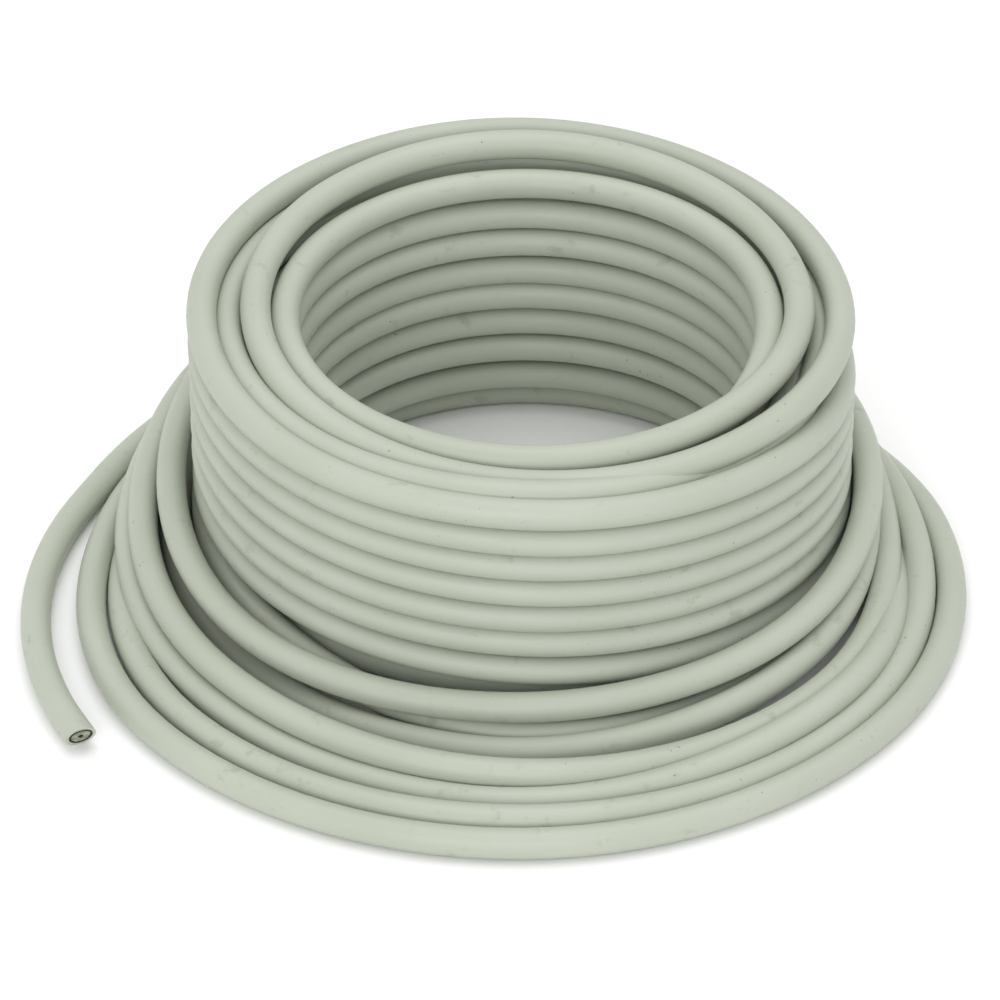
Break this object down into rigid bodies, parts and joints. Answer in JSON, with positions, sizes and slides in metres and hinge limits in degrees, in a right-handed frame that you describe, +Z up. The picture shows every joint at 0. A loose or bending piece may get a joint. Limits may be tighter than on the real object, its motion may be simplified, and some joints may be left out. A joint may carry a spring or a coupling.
{
  "type": "coaxial cable coil",
  "caption": "Free-standing coil of round coaxial cable: an upright barrel with an open bore, a skirt of loose outer turns and one cut end lying beside it.",
  "frame": {"origin": "on the floor, under the middle of the coil and its free end together", "axes": "+Z up along the coil's axis, +X to the right and -Y towards the front of the picture, so the free end lies on the -X side"},
  "size_m": [0.2124, 0.2092, 0.0699],
  "materials": {
    "jacket": "satin off-white plastic with a faint green-grey cast",
    "screen": "dull dark braid over foil",
    "dielectric": "matt pale foam",
    "conductor": "cut copper-coloured wire, darkened"
  },
  "bodies": {
    "root": {"cable_coil": "jacket", "cable_tail": "jacket", "cut_screen": "screen", "cut_dielectric": "dielectric", "centre_conductor": "conductor"}
  },
  "joints": []
}
